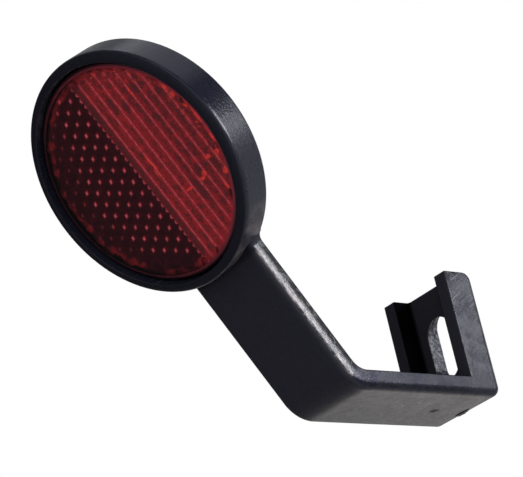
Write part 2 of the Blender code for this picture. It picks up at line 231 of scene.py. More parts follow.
class SidePlan:
    """The bracket's middle plane, where points are (depth, height)."""

    def __init__(self, scene):
        strip = scene.reflector_strip
        foot = scene.reflector_foot
        self.along = np.array((cos(strip.leg_slope), -sin(strip.leg_slope)))
        self.up = np.array((sin(strip.leg_slope), cos(strip.leg_slope)))
        self.elbow = np.array((strip.setback, -strip.arm_length))
        self.heel = self.elbow + self.along * strip.leg_length
        rise = foot.slot_rise + foot.slot_length + foot.fixing_gap
        self.fixing = self.heel + self.up * rise

    def foot_point(self, behind, rise):
        """A point of the foot: behind its back face (negative is in front) and above the heel."""
        return self.heel + np.multiply.outer(behind, self.along) + np.multiply.outer(rise, self.up)

    def to_world(self, points):
        """Points measured from the cup's rim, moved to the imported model's frame."""
        return points - np.array((0.0, self.fixing[0], self.fixing[1]))


class Shape:
    """Vertices and faces collected from grids and outlines, then made one mesh."""

    def __init__(self):
        self.points = []
        self.faces = []
        self.count = 0

    def add_points(self, points):
        """Store points and return the number of the first."""
        first = self.count
        self.points.append(np.asarray(points, float).reshape(-1, 3))
        self.count += len(self.points[-1])
        return first

    def grid(self, points, closed=False, keep=None):
        """Quads over a (rows, columns, 3) array. Closed joins the last column to the first."""
        rows, columns = points.shape[:2]
        number = self.add_points(points) + np.arange(rows * columns).reshape(rows, columns)
        beside = np.roll(number, -1, axis=1)
        width = columns if closed else columns - 1
        quads = np.stack((number[:-1], beside[:-1], beside[1:], number[1:]), axis=-1)[:, :width]
        if keep is not None:
            quads = quads[keep[:, :width]]
        self.faces.extend(quads.reshape(-1, 4).tolist())

    def quads(self, corners):
        """Separate quads from an array (..., 4, 3)."""
        first = self.add_points(corners)
        self.faces.extend(np.arange(first, self.count).reshape(-1, 4).tolist())

    def outline(self, points):
        """One flat face."""
        first = self.add_points(points)
        self.faces.append(list(range(first, first + len(points))))

    def make(self, name, material, plan, smooth=radians(38.0)):
        """The mesh object, with shared points welded and edges sharper than smooth kept crisp."""
        points = plan.to_world(np.concatenate(self.points))
        mesh = bpy.data.meshes.new(name)
        mesh.from_pydata(points.tolist(), [], self.faces)
        work = bmesh.new()
        work.from_mesh(mesh)
        bmesh.ops.remove_doubles(work, verts=work.verts, dist=WELD)
        bmesh.ops.recalc_face_normals(work, faces=work.faces)
        work.to_mesh(mesh)
        work.free()
        mesh.shade_smooth()
        mesh.set_sharp_from_angle(angle=smooth)
        mesh.materials.append(material)
        piece = bpy.data.objects.new(name, mesh)
        bpy.context.scene.collection.objects.link(piece)
        return piece


def quarter(steps):
    """Sines and cosines of a quarter turn."""
    turn = np.linspace(0.0, pi / 2, steps + 1)
    return np.sin(turn), np.cos(turn)


def rounded_outline(corners, radii, steps, guard):
    """A closed outline of right-angled corners with rounds, and its outward directions.

    Each round is a quarter circle between its two tangent points. A guard point stands
    just beyond each end of it, so that the shading of the round stops there.
    """
    corners, radii = np.array(corners)[:, None], np.array(radii)[:, None]
    into = corners - np.roll(corners, 1, axis=0)
    into = into / np.linalg.norm(into, axis=-1, keepdims=True)
    out = np.roll(into, -1, axis=0)
    sines, cosines = quarter(steps)
    before = np.concatenate((radii + guard, radii * (1 - sines), radii * 0.0), axis=1)
    beyond = np.concatenate((radii * 0.0, radii * (1 - cosines), radii + guard), axis=1)
    points = corners - into * before[..., None] + out * beyond[..., None]
    leaving = np.concatenate(([0.0], sines, [1.0]))[:, None]
    entering = np.concatenate(([1.0], cosines, [0.0]))[:, None]
    tangent = into * entering + out * leaving
    outward = np.stack((tangent[..., 1], -tangent[..., 0]), axis=-1)
    return points.reshape(-1, 2), outward.reshape(-1, 2)


def cup_profile(cup):
    """The cup's wall as (radius, depth) points: back, outer wall, rim, bore and floor.

    The rim's outer round and its small inner one cross near the bore, where both stop.
    """
    sines, cosines = quarter(10)
    bore = cup.radius - cup.wall
    meeting = bore + cup.lip_round * 0.909
    back_edge = (cup.radius - cup.back_round * (1 - sines), cup.depth - cup.back_round * (1 - cosines))
    rim = (np.maximum(cup.radius - cup.front_round * (1 - cosines), meeting), cup.front_drop * (1 - sines))
    lip = (np.minimum(bore + cup.lip_round * (1 - sines), meeting), cup.lip_round * (1 - cosines))
    hidden_floor = cup.depth - cup.floor
    return np.concatenate((
        [(0.0, cup.depth), (cup.radius - cup.back_round - GUARD, cup.depth)],
        np.column_stack(back_edge),
        [(cup.radius, cup.depth - cup.back_round - GUARD), (cup.radius, cup.front_drop + GUARD)],
        np.column_stack(rim),
        np.column_stack(lip),
        [(bore, cup.lip_round + GUARD), (bore, hidden_floor), (0.0, hidden_floor)]))


def turned(profile, steps):
    """A (radius, depth) profile turned about the cup's axis, as rows of points."""
    turn = np.linspace(0.0, 2 * pi, steps, endpoint=False)[None, :]
    radius = profile[:, :1]
    depth = np.repeat(profile[:, 1:], steps, axis=1)
    return np.stack((radius * np.cos(turn), depth, radius * np.sin(turn)), axis=-1)


class REFLECTOR_OT_cup(bpy.types.Operator):
    """Build the cup: its wall profile turned about the lens's axis.

    Radius and depth follow quarter circles at the back edge, the rim and the lip
    """

    bl_idname = "reflector.cup"
    bl_label = "Cup"

    def execute(self, context):
        plan = SidePlan(context.scene)
        shape = Shape()
        shape.grid(turned(cup_profile(context.scene.reflector_cup), steps=288), closed=True)
        piece = shape.make("bracket_cup", moulded_plastic(context.scene, plan), plan)
        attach(piece, BODY)
        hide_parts("bracket")
        return {"FINISHED"}


def strip_runs(plan, cup, strip, foot):
    """The strip's outer and inner runs with the direction from the outer into the material.

    Down the arm the two runs are parallel, round the bend they are arcs about one
    centre, and at the heel the inner run stays on the corner between leg and foot
    while the outer run goes round the heel's arc.
    """
    outer_radius = strip.bend_radius + strip.thickness
    turn = pi / 2 - strip.leg_slope
    centre = np.array((strip.setback + outer_radius, -strip.arm_length + outer_radius * tan(turn / 2)))
    heights = np.concatenate((np.linspace(-cup.radius * 0.88, -cup.radius, 22),
                              np.linspace(-cup.radius - ROOT_END, centre[1], 12)[:-1]))
    arm = np.column_stack((np.full_like(heights, strip.setback), heights))
    back = np.tile((1.0, 0.0), (len(arm), 1))
    steps = np.linspace(0.0, turn, 30)
    bend_in = np.column_stack((np.cos(steps), np.sin(steps)))
    start = outer_radius * tan(turn / 2) - strip.leg_length
    leg = plan.foot_point(np.linspace(start, -foot.depth, 12)[1:], np.zeros(11))
    toe = plan.foot_point(np.linspace(-foot.depth, -strip.heel_radius, 6)[1:], np.zeros(5))
    steps = np.linspace(0.0, pi / 2, 17)[1:, None]
    heel_in = plan.up * np.cos(steps) - plan.along * np.sin(steps)
    heel = plan.foot_point(-strip.heel_radius, strip.heel_radius) - heel_in * strip.heel_radius
    top = strip.thickness + foot.sill
    rises = np.array((strip.heel_radius + GUARD, strip.thickness, top))
    foot_back = plan.foot_point(np.zeros(3), rises)
    corner = plan.foot_point(-foot.depth, strip.thickness)
    under_corner = len(toe) + len(heel) + 2
    outer = np.concatenate((arm, centre - bend_in * outer_radius, leg, toe, heel, foot_back))
    inward = np.concatenate((back, bend_in, np.tile(plan.up, (len(leg) + len(toe), 1)), heel_in,
                             np.tile(-plan.along, (3, 1))))
    inner = np.concatenate((arm + back * strip.thickness, centre - bend_in * strip.bend_radius,
                            leg + plan.up * strip.thickness, np.tile(corner, (under_corner, 1)),
                            plan.foot_point(-foot.depth, top)[None]))
    return outer, inward, inner


def root_flare(height, cup, strip):
    """How far the arm's sides spread where they run into the cup: a quarter-round fillet."""
    centre_x = strip.width / 2 + strip.root_fillet
    centre_z = -sqrt((cup.radius + strip.root_fillet) ** 2 - centre_x ** 2)
    above = np.clip(height - centre_z, 0.0, strip.root_fillet * 0.98)
    return strip.root_fillet - np.sqrt(strip.root_fillet ** 2 - above ** 2)


def strip_section(strip, crowned, guard):
    """The strip's sections: place across, and depth below the outer or the inner run.

    A round leads from the outer face to the side, whose first part is a shallow parabola
    that starts where the round still has the crown's turn to go. Crowned tells for each
    row how much of the crown is there.
    """
    half = strip.width / 2
    crown_turn = strip.crown_turn * crowned[:, None]
    crown = strip.crown * (0.1 + 0.9 * crowned[:, None])
    turn = (pi / 2 - crown_turn) * np.linspace(0.0, 1.0, 10)
    share = np.linspace(0.0, 1.0, 6)[None, 1:]
    round_end = half - crown * crown_turn / 2
    middle = round_end - strip.outer_round * np.cos(crown_turn)
    round_depth = strip.outer_round * (1 - np.cos(turn))
    outer_x = np.concatenate((middle - guard, middle + strip.outer_round * np.sin(turn),
                              round_end + crown * crown_turn * (share - share ** 2 / 2)), axis=1)
    outer_d = np.concatenate((crown * 0.0, round_depth, round_depth[:, -1:] + crown * share), axis=1)
    sines, cosines = quarter(7)
    inner_x = np.concatenate((half - strip.inner_round * (1 - cosines), [half - strip.inner_round - guard]))
    inner_d = np.concatenate((strip.inner_round * (1 - sines), [0.0]))
    return (outer_x, outer_d), (half, strip.inner_round + guard), (inner_x, inner_d)


class REFLECTOR_OT_strip(bpy.types.Operator):
    """Build the arm, bend, leg and heel as one swept strip.

    Each section lies between an outer and an inner run; its outer edges are rounded by
    quarter circles, and its sides spread by a fillet where the arm meets the cup
    """

    bl_idname = "reflector.strip"
    bl_label = "Arm and leg"

    def execute(self, context):
        scene = context.scene
        cup, strip, foot = scene.reflector_cup, scene.reflector_strip, scene.reflector_foot
        plan = SidePlan(scene)
        outer, inward, inner = strip_runs(plan, cup, strip, foot)
        crowned = 1.0 - np.clip((outer[:, 0] - strip.setback) / strip.leg_length * 2.0, 0.0, 1.0)
        section = strip_section(strip, crowned, guard=0.00015)
        (outer_x, outer_d), (side_x, side_d), (inner_x, inner_d) = section
        on_outer = outer[:, None] + inward[:, None] * outer_d[..., None]
        high_side = inner - inward * side_d
        on_inner = inner[:, None] - inward[:, None] * inner_d[None, :, None]
        flat = np.concatenate((on_outer, high_side[:, None], on_inner), axis=1)
        beyond = np.tile(np.concatenate(([side_x], inner_x)), (len(outer), 1))
        flare = root_flare(outer[:, 1], cup, strip)
        flare = np.where(outer[:, 1] > -cup.radius - ROOT_END, flare, 0.0)[:, None]
        across = np.concatenate((outer_x, beyond), axis=1) + flare
        right = np.stack((across, flat[..., 0], flat[..., 1]), axis=-1)
        left = right[:, ::-1] * np.array((-1.0, 1.0, 1.0))
        tube = np.concatenate((right, left), axis=1)
        held = -np.sqrt(np.clip((cup.radius - ROOT_COVER) ** 2 - tube[..., 0] ** 2, 0.0, None))
        tube[..., 2] = np.minimum(tube[..., 2], held)
        shape = Shape()
        shape.grid(tube, closed=True)
        shape.outline(tube[-1])
        piece = shape.make("bracket_strip", moulded_plastic(scene, plan), plan)
        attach(piece, BODY)
        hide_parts("bracket")
        return {"FINISHED"}


def channel_outline(strip, foot):
    """The foot's channel section seen from above, as (across, behind) points."""
    half = strip.width / 2
    inside = half - foot.flange
    corners = [(half, 0.0), (half, -foot.depth), (inside, -foot.depth), (inside, -foot.web),
               (-inside, -foot.web), (-inside, -foot.depth), (-half, -foot.depth), (-half, 0.0)]
    edge, fillet = foot.edge_round, foot.corner_round
    radii = [strip.outer_round, edge, edge, fillet, fillet, edge, edge, strip.outer_round]
    return rounded_outline(corners[::-1], radii[::-1], steps=7, guard=0.00012)


def slot_radius(turn, half_width, half_run):
    """Distance from the slot's centre to its edge in a direction, for straight sides and round ends."""
    across, up = np.abs(np.cos(turn)), np.abs(np.sin(turn))
    side = half_width / np.maximum(across, 1e-9)
    end = half_run * up + np.sqrt(np.clip(half_width ** 2 - (half_run * across) ** 2, 0.0, None))
    return np.where(side * up <= half_run, side, end)


class REFLECTOR_OT_foot(bpy.types.Operator):
    """Build the channel foot: a rounded channel outline raised along the foot.

    The back's middle is a pair of plates, each a fan of rings between the slot's edge
    and a rectangle, joined by the slot's wall
    """

    bl_idname = "reflector.foot"
    bl_label = "Foot"

    def execute(self, context):
        scene = context.scene
        self.strip, self.foot = scene.reflector_strip, scene.reflector_foot
        self.plan = SidePlan(scene)
        strip, foot = self.strip, self.foot
        outline, outward = channel_outline(strip, foot)
        middle = foot.slot_rise + foot.slot_length / 2
        low = foot.slot_rise - PLATE_BELOW
        high = foot.slot_rise + foot.slot_length + foot.slot_flare + PLATE_ABOVE
        top_start = foot.height - foot.top_round
        bend = np.linspace(0.0, pi / 2, 15)
        rises = np.concatenate(([strip.thickness + foot.sill, low, high, top_start - GUARD],
                                top_start + foot.top_round * np.sin(bend)))
        rows = np.array([self.raised(outline, outward, rise) for rise in rises])
        following = np.roll(outline, -1, axis=0)
        half_back = strip.width / 2 - strip.outer_round
        half_front = strip.width / 2 - foot.flange - foot.corner_round
        on_back = (outline[:, 1] > -TINY) & (following[:, 1] > -TINY)
        on_web = (np.abs(outline[:, 1] + foot.web) < TINY) & (np.abs(following[:, 1] + foot.web) < TINY)
        keep = np.ones((len(rises) - 1, len(outline)), bool)
        keep[1] = ~(on_back | on_web)
        shape = Shape()
        shape.grid(rows, closed=True, keep=keep)
        shape.outline(rows[-1])
        corners = [atan2(y, x) for x in (half_back, half_front) for y in (high - middle, low - middle)]
        turns = np.concatenate((np.linspace(-pi, pi, 144, endpoint=False), corners,
                                [pi - corner for corner in corners]))
        turns = np.unique(np.round(np.mod(turns, 2 * pi), 9))
        limit = np.where(np.sin(turns) > 0, high - middle, middle - low)
        for half, behind in ((half_back, 0.0), (half_front, -foot.web)):
            rim = self.slot_edge(turns, foot.edge_round, behind)
            reach = np.minimum(half / np.maximum(np.abs(np.cos(turns)), 1e-9),
                               limit / np.maximum(np.abs(np.sin(turns)), 1e-9))
            rings = [rim, rim + GUARD / 2] + [rim + (reach - rim) * share for share in (0.4, 1.0)]
            shape.grid(np.array([self.ring(ring, turns, behind, middle) for ring in rings]), closed=True)
        sines, cosines = quarter(6)
        wall = np.column_stack((foot.edge_round * (1 - sines), -foot.edge_round * (1 - cosines)))
        wall = np.concatenate((wall, wall[::-1] * (1.0, -1.0) - (0.0, foot.web)))
        bands = [self.ring(self.slot_edge(turns, offset, behind), turns, behind, middle)
                 for offset, behind in wall]
        shape.grid(np.array(bands), closed=True)
        piece = shape.make("bracket_foot", moulded_plastic(scene, self.plan), self.plan)
        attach(piece, BODY)
        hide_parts("bracket")
        return {"FINISHED"}

    def raised(self, outline, outward, rise):
        """The channel's outline at a rise of the foot.

        Near the top the back draws in along the top corner's quarter circle, and the
        other edges by a small one of their own.
        """
        foot = self.foot
        corner = np.clip(rise - foot.height + foot.top_round, 0.0, foot.top_round)
        setback = foot.top_round - sqrt(foot.top_round ** 2 - corner ** 2)
        edge = np.clip(rise - foot.height + foot.edge_round, 0.0, foot.edge_round)
        inset = foot.edge_round - sqrt(foot.edge_round ** 2 - edge ** 2)
        placed = outline - outward * inset
        at_back = outline[:, 1] > -self.strip.outer_round - BACK_MARGIN
        placed[at_back, 1] = outline[at_back, 1] - setback
        place = self.plan.heel + placed[:, 1:] * self.plan.along + rise * self.plan.up
        return np.column_stack((placed[:, 0], place))

    def slot_edge(self, turns, offset, behind):
        """The slot's edge, widened by an offset, at a depth of the web; its top end is sheared."""
        foot = self.foot
        half_run = (foot.slot_length - foot.slot_width) / 2
        shift = foot.slot_flare * (1 + behind / foot.web)
        runs = np.where(np.sin(turns) > 0, half_run + shift, half_run)
        return slot_radius(turns, foot.slot_width / 2 + offset, runs)

    def ring(self, radius, turns, behind, middle):
        """A ring about the slot's centre on a plane of the web."""
        rise = (middle + radius * np.sin(turns))[:, None]
        place = self.plan.heel + behind * self.plan.along + rise * self.plan.up
        return np.column_stack((radius * np.cos(turns), place))


class REFLECTOR_OT_gate(bpy.types.Operator):
    """Build the gate mark: an oval stub that stands on the heel's round.

    Its height falls with the fourth power of the distance from its middle, and a
    little wave along it leaves it torn
    """

    bl_idname = "reflector.gate"
    bl_label = "Gate mark"

    def execute(self, context):
        scene = context.scene
        strip, gate = scene.reflector_strip, scene.reflector_gate
        plan = SidePlan(scene)
        down, back = -plan.up, plan.along
        centre = plan.foot_point(-strip.heel_radius, strip.heel_radius)
        normal = down * cos(gate.round_heel) + back * sin(gate.round_heel)
        tangent = back * cos(gate.round_heel) - down * sin(gate.round_heel)
        share = np.linspace(0.0, 1.25, 14)[:, None]
        turn = np.linspace(0.0, 2 * pi, 48, endpoint=False)[None, :]
        across = gate.length / 2 * np.minimum(share, 1.0) * np.cos(turn)
        round_heel = gate.width / 2 * np.minimum(share, 1.0) * np.sin(turn)
        torn = 0.75 + 0.25 * np.sin(across * TORN_WAVES[0]) * np.cos(round_heel * TORN_WAVES[1] + 0.7)
        top = gate.height * torn * (1 - np.minimum(share, 1.0) ** 4)
        height = top - np.clip(share - 1.0, 0.0, None) * 0.0016
        reach = strip.heel_radius + height
        plane = centre + reach[..., None] * normal + round_heel[..., None] * tangent
        points = np.concatenate(((across - gate.offset)[..., None], plane), axis=-1)
        shape = Shape()
        shape.grid(points, closed=True)
        piece = shape.make("gate_mark", torn_plastic(scene), plan)
        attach(piece, BODY)
        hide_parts("bracket")
        return {"FINISHED"}


class Term:
    """A shader value that can be used in arithmetic; each operation adds one math node."""

    def __init__(self, tree, socket):
        self.tree = tree
        self.socket = socket

    def math(self, operation, *others):
        """A math node whose first input is this value."""
        node = self.tree.nodes.new("ShaderNodeMath")
        node.operation = operation
        for slot, other in zip(node.inputs, (self, *others)):
            plug(self.tree, other, slot)
        return Term(self.tree, node.outputs[0])

    def __add__(self, other):
        return self.math("ADD", other)

    def __sub__(self, other):
        return self.math("SUBTRACT", other)

    def __mul__(self, other):
        return self.math("MULTIPLY", other)

    def __truediv__(self, other):
        return self.math("DIVIDE", other)

    def __rsub__(self, other):
        return (self * -1.0) + other

    __radd__ = __add__
    __rmul__ = __mul__

    def absolute(self):
        """Size without sign."""
        return self.math("ABSOLUTE")

    def floor(self):
        """Whole part below."""
        return self.math("FLOOR")

    def least(self, other):
        """The smaller of two values."""
        return self.math("MINIMUM", other)

    def most(self, *others):
        """The largest of this value and the others."""
        return reduce(lambda largest, other: largest.math("MAXIMUM", other), others, self)

    def held(self):
        """The value, kept between nought and one."""
        return self.most(0.0).least(1.0)

    def odd(self):
        """One where the whole number is odd, else nought."""
        return (self * 0.5 - (self * 0.5).floor()) * 2.0

    def ramp(self):
        """One at each whole number, falling to nought halfway between two."""
        return (self.math("FRACT") - 0.5).absolute() * 2.0

    def step(self, start, end):
        """Nought before start, one after end, smooth between; start may be the larger."""
        low, high, first, last = (start, end, 0.0, 1.0) if start < end else (end, start, 1.0, 0.0)
        node = self.tree.nodes.new("ShaderNodeMapRange")
        node.interpolation_type = "SMOOTHSTEP"
        plug(self.tree, self, node.inputs["Value"])
        for name, value in (("From Min", low), ("From Max", high), ("To Min", first), ("To Max", last)):
            node.inputs[name].default_value = value
        return Term(self.tree, node.outputs["Result"])

    def near(self, centre, reach, core):
        """One within core of a centre, nought beyond reach of it, smooth between."""
        return (self - centre).absolute().step(reach, core)


def plug(tree, value, slot):
    """Feed an input with a term, a socket or a plain value."""
    if isinstance(value, Term):
        tree.links.new(value.socket, slot)
    elif isinstance(value, bpy.types.NodeSocket):
        tree.links.new(value, slot)
    elif slot.type == "RGBA":
        slot.default_value = (*value, 1.0)
    else:
        slot.default_value = value


class Painter:
    """Builds the nodes of a new material or world."""

    def __init__(self, owner):
        owner.use_nodes = True
        self.owner = owner
        self.tree = owner.node_tree
        for node in self.tree.nodes:
            if node.bl_idname.startswith("ShaderNodeOutput"):
                self.output = node
            else:
                self.shader = node

    def node(self, kind, output, settings=None, **inputs):
        """A node of a kind, its settings and its inputs; gives one output as a term."""
        node = self.tree.nodes.new(kind)
        for key, value in (settings or {}).items():
            setattr(node, key, value)
        for key, value in inputs.items():
            plug(self.tree, value, node.inputs[key.replace("_", " ")])
        return Term(self.tree, node.outputs[output])

    def position(self):
        """The point on the object, in metres."""
        return self.node("ShaderNodeTexCoord", "Object")

    def axes(self, vector):
        """The three parts of a vector."""
        split = self.node("ShaderNodeSeparateXYZ", "X", Vector=vector)
        return [Term(self.tree, split.socket.node.outputs[axis]) for axis in "XYZ"]

    def vector(self, x, y, z=0.0):
        """A vector of three parts."""
        return self.node("ShaderNodeCombineXYZ", "Vector", X=x, Y=y, Z=z)

    def drawn_out(self, vector, degrees, scale):
        """A place turned and scaled, so that a pattern on it is drawn out along one way."""
        return self.node("ShaderNodeMapping", "Vector", {"vector_type": "POINT"}, Vector=vector,
                         Rotation=tuple(map(radians, degrees)), Scale=scale)

    def noise(self, vector, scale, detail, roughness, distortion=0.0):
        """Cloudy noise from about nought to one."""
        return self.node("ShaderNodeTexNoise", "Fac", Vector=vector, Scale=scale, Detail=detail,
                         Roughness=roughness, Distortion=distortion)

    def waver(self, vector, scale, detail, roughness):
        """Cloudy noise about nought."""
        return self.noise(vector, scale, detail, roughness) - 0.5

    def luck(self, column, row, seed):
        """A random share from nought to one for each column and row."""
        return self.node("ShaderNodeTexWhiteNoise", "Value", {"noise_dimensions": "3D"},
                         Vector=self.vector(column, row, seed))

    def mix(self, share, first, second):
        """One colour turning into another as share goes from nought to one."""
        node = self.tree.nodes.new("ShaderNodeMix")
        node.data_type = "RGBA"
        plug(self.tree, share, node.inputs[0])
        plug(self.tree, first, node.inputs[6])
        plug(self.tree, second, node.inputs[7])
        return Term(self.tree, node.outputs[2])

    def bump(self, height, distance, strength):
        """A normal tilted by a height that is measured in parts of distance."""
        return self.node("ShaderNodeBump", "Normal", Height=height, Distance=distance,
                         Strength=strength)

    def surface(self, **inputs):
        """Feed the main shader's inputs."""
        for key, value in inputs.items():
            plug(self.tree, value, self.shader.inputs[key.replace("_", " ")])

    def blend(self, share, first, second):
        """Show one shader turning into another as share goes from nought to one."""
        joined = self.node("ShaderNodeMixShader", "Shader", Fac=share)
        slots = joined.socket.node.inputs
        plug(self.tree, first, slots[1])
        plug(self.tree, second, slots[2])
        plug(self.tree, joined, self.output.inputs["Surface"])


def oval(u, v, place, waver, start=1.5, full=0.5):
    """One inside an oval (across, up, half width, half height) with a wavering edge, else nought."""
    across, up, half_width, half_height = place
    du, dv = (u - across) / half_width, (v - up) / half_height
    return (du * du + dv * dv + waver).step(start, full)


class Zones:
    """Where a point of the bracket's skin lies; each zone is one inside and nought outside.

    Behind is the distance past the foot's back face, rise the height above the heel along
    the foot, and past_front the depth behind the arm's front, all in metres. The two
    numbers of each step are where a zone ends and where it is full, in metres. For the way
    that a face looks, they are parts of one.
    """

    def __init__(self, paint, place, scene, plan):
        strip, foot = scene.reflector_strip, scene.reflector_foot
        x, y, z = place
        _, facing_back, facing_up = paint.axes(paint.node("ShaderNodeNewGeometry", "Normal"))
        from_heel = y - float(plan.heel[0] - plan.fixing[0])
        above_heel = z - float(plan.heel[1] - plan.fixing[1])
        self.behind = from_heel * float(plan.along[0]) + above_heel * float(plan.along[1])
        self.rise = from_heel * float(plan.up[0]) + above_heel * float(plan.up[1])
        self.past_front = y - (strip.setback - float(plan.fixing[0]))

        cup_centre = -float(plan.fixing[1])
        self.cup = z.step(cup_centre - 0.0290, cup_centre - 0.0275)
        self.foot = self.behind.step(-foot.depth - 0.0012, -foot.depth - 0.0002)
        self.under = facing_up.step(-0.70, -0.78)
        self.downward = facing_up.step(-0.30, -0.75)
        ahead = facing_up.least(0.0) * 0.35 - facing_back
        self.forward = (ahead.step(0.32, 0.56) * self.cup).most(ahead.step(0.30, 0.95))

        sideways = facing_back.absolute().step(0.6, 0.3)
        above_leg = self.rise.step(0.0040, 0.0070)
        side = x.absolute().near(strip.width / 2 - 0.0001, 0.0007, 0.0003) * sideways
        slot = x.absolute().near(foot.slot_width / 2, 0.0008, 0.0004) * sideways
        channel = x.absolute().near(strip.width / 2 - foot.flange - 0.0003, 0.0006, 0.0004)
        self.flange = side * self.foot * above_leg
        self.slot = slot * self.foot * above_leg
        # the channel's inner faces, which the plastic paints near black as shade
        self.channel = channel * self.foot * self.rise.step(0.0030, 0.0035) \
            * self.behind.step(-foot.web + 0.0001, -foot.web - 0.0001)
        before_foot = self.behind.step(0.0030 - foot.depth, -0.0060 - foot.depth)
        self.leg = side * before_foot * z.step(0.0062, 0.0038)
        self.right_arm = side * z.step(0.0038, 0.0062) * (1.0 - self.cup) * x.step(0.0, 0.001)


# Places on the leg's underside in metres: across, behind the foot's back, half width, half length; a nick,
# and painted shade round the gate stub
NICK = (-0.0003, -0.0115, 0.0011, 0.0012)
GATE_SHADE = (-0.0004, -0.0026, 0.0023, 0.0006)
# near black, for the nick and for painted shade
DEEP_BLACK = (0.0006, 0.0006, 0.0010)


def moulded_plastic(scene, plan):
    """Satin black plastic: fine grain, cloudy gloss, flow streaks and scuffs.

    The faces that look forward are matt, and so are the insides of the foot's flanges, which
    are also painted near black as shade. The arm's right side has a painted highlight in warm
    grey along its front edge, and behind it dull patches that are rougher and painted darker as
    shade; the flanges are scratched and smudged, the slot's wall is gritty, and the foot's
    forward faces are painted a little paler as light. The leg's underside has a nick, a painted
    warm sheen that grows towards the right, and painted shade round the gate. A share of metal
    over the black base does nothing but dim the gloss there.
    """
    known = bpy.data.materials.get("moulded_plastic")
    if known:
        return known
    finish = scene.reflector_finish
    paint = Painter(bpy.data.materials.new("moulded_plastic"))
    place = paint.position()
    x, y, z = paint.axes(place)
    zone = Zones(paint, (x, y, z), scene, plan)
    cloud = paint.noise(place, 150.0, 4.0, 0.6)
    grain = paint.noise(place, 2600.0, 3.0, 0.65)
    wave = paint.noise(place, 800.0, 3.0, 0.6)
    speck = paint.noise(place, 1300.0, 3.0, 0.7)
    flow = paint.drawn_out(place, (20.0, 35.0, 10.0), (1.0, 6.0, 0.35))
    streaks = paint.noise(flow, 260.0, 3.0, 0.55, 0.6)
    scratched = paint.drawn_out(place, (-40.0, 15.0, 0.0), (1.0, 0.07, 1.0))
    scuffs = paint.noise(scratched, 1100.0, 3.0, 0.7, 2.2)
    smudge = paint.noise(paint.vector(x, y * 0.7, z), 300.0, 6.0, 0.74, 0.25)
    drawn = paint.noise(paint.vector(y * 2.4, z, x), 420.0, 4.0, 0.65, 0.4)

    # the arm's side, with a painted highlight along its front edge and dull patches painted darker as shade
    # behind it, then the marks below the leg, then scuffs, grit and smudges
    # pale: a painted highlight along the arm's front edge
    pale = (zone.past_front + (cloud - 0.5) * 0.0024).step(0.0030, 0.0022) * drawn.step(0.40, 0.62)
    # dull: rougher patches on the arm's side, also painted darker as shade
    dull = (zone.past_front + (drawn - 0.5) * 0.0040).step(0.0023, 0.0030) * drawn.step(0.36, 0.50)
    pale, dull = pale * zone.right_arm, dull * zone.right_arm
    nick = oval(x, zone.behind, NICK, (speck - 0.5) * 6.0, 1.3, 0.5) * zone.under
    # painted shade round the gate stub
    gate_shade = oval(x, zone.behind, GATE_SHADE, (speck - 0.5) * 3.0, 1.3, 0.7) * zone.under
    worn = scuffs.step(0.62, 0.74) * cloud.step(0.44, 0.62)
    specks = speck.step(0.74, 0.80) * cloud.step(0.52, 0.66)
    scratches = scuffs.step(0.56, 0.66) * (cloud * 0.6 + zone.rise * 22.0).step(0.35, 0.85) * zone.flange
    smeared = (smudge + (speck - 0.5) * 0.25).step(0.42, 0.68) * zone.flange
    gritty = (wave * 0.6 + speck * 0.6).step(0.56, 0.72) * zone.slot
    # a painted warm sheen on the leg's underside, stronger towards the right
    painted_warm_sheen = smudge.step(0.36, 0.66) * (0.6 + x.step(-0.008, 0.008)) * zone.under

    tone = paint.mix((worn * 0.10).most(specks * 0.10), finish.plastic, finish.plastic_worn)
    # besides scuffs, smudges and grit, the foot's forward faces are painted a little paler as light
    scuffed = (scratches * 0.20).most(smeared * 0.10, gritty * 0.38, zone.forward * zone.foot * 0.016)
    tone = paint.mix(scuffed, tone, finish.plastic_worn)
    tone = paint.mix(painted_warm_sheen * 0.065, tone, finish.painted_sheen)
    # the painted highlight along the arm's front edge
    tone = paint.mix(pale * 0.36, tone, finish.painted_sheen)
    # painted shade in near black: the channel between the flanges, the arm's dull patches and round the
    # gate; the nick is a mark of its own
    tone = paint.mix((zone.channel * 0.95).most(dull * 0.7, nick * 0.6, gate_shade), tone, DEEP_BLACK)

    skin = cloud * 0.16 + streaks * 0.12 + speck * 0.34 + (finish.plastic_roughness - 0.31)
    matt = zone.forward.most(zone.channel, dull * 0.8, nick * 0.6, gate_shade)
    rough = skin + zone.downward * 0.14 + matt * (finish.matt_roughness - finish.plastic_roughness)
    height = (grain * 0.50 + speck * 0.90 + wave * 0.60) * (1.0 - zone.under * 0.7)
    height = height + streaks * 0.4 + cloud * zone.under * 2.0
    dimmed = zone.channel.most(gate_shade, zone.forward * zone.cup * 0.62,
                               zone.leg * (0.22 + smudge.step(0.62, 0.36) * 0.48),
                               zone.flange * (0.04 + smudge.step(0.58, 0.38) * 0.30))
    paint.surface(Base_Color=tone, Roughness=rough, Metallic=dimmed,
                  Normal=paint.bump(height, 0.00005, 0.7), Specular_IOR_Level=finish.plastic_gloss)
    return paint.owner


def torn_plastic(scene):
    """The gate's torn stub: the same plastic, rough and frayed, painted darker as shade."""
    paint = Painter(bpy.data.materials.new("torn_plastic"))
    fray = paint.noise(paint.position(), 2400.0, 4.0, 0.7)
    worn = scene.reflector_finish.plastic_worn
    tone = paint.mix(fray.step(0.60, 0.80) * 0.05, (0.0006, 0.0006, 0.0008), worn)
    paint.surface(Base_Color=tone, Roughness=0.80, Metallic=0.9,
                  Normal=paint.bump(fray, 0.00010, 0.8), Specular_IOR_Level=0.03)
    return paint.owner


MILLIMETRES = 1000.0
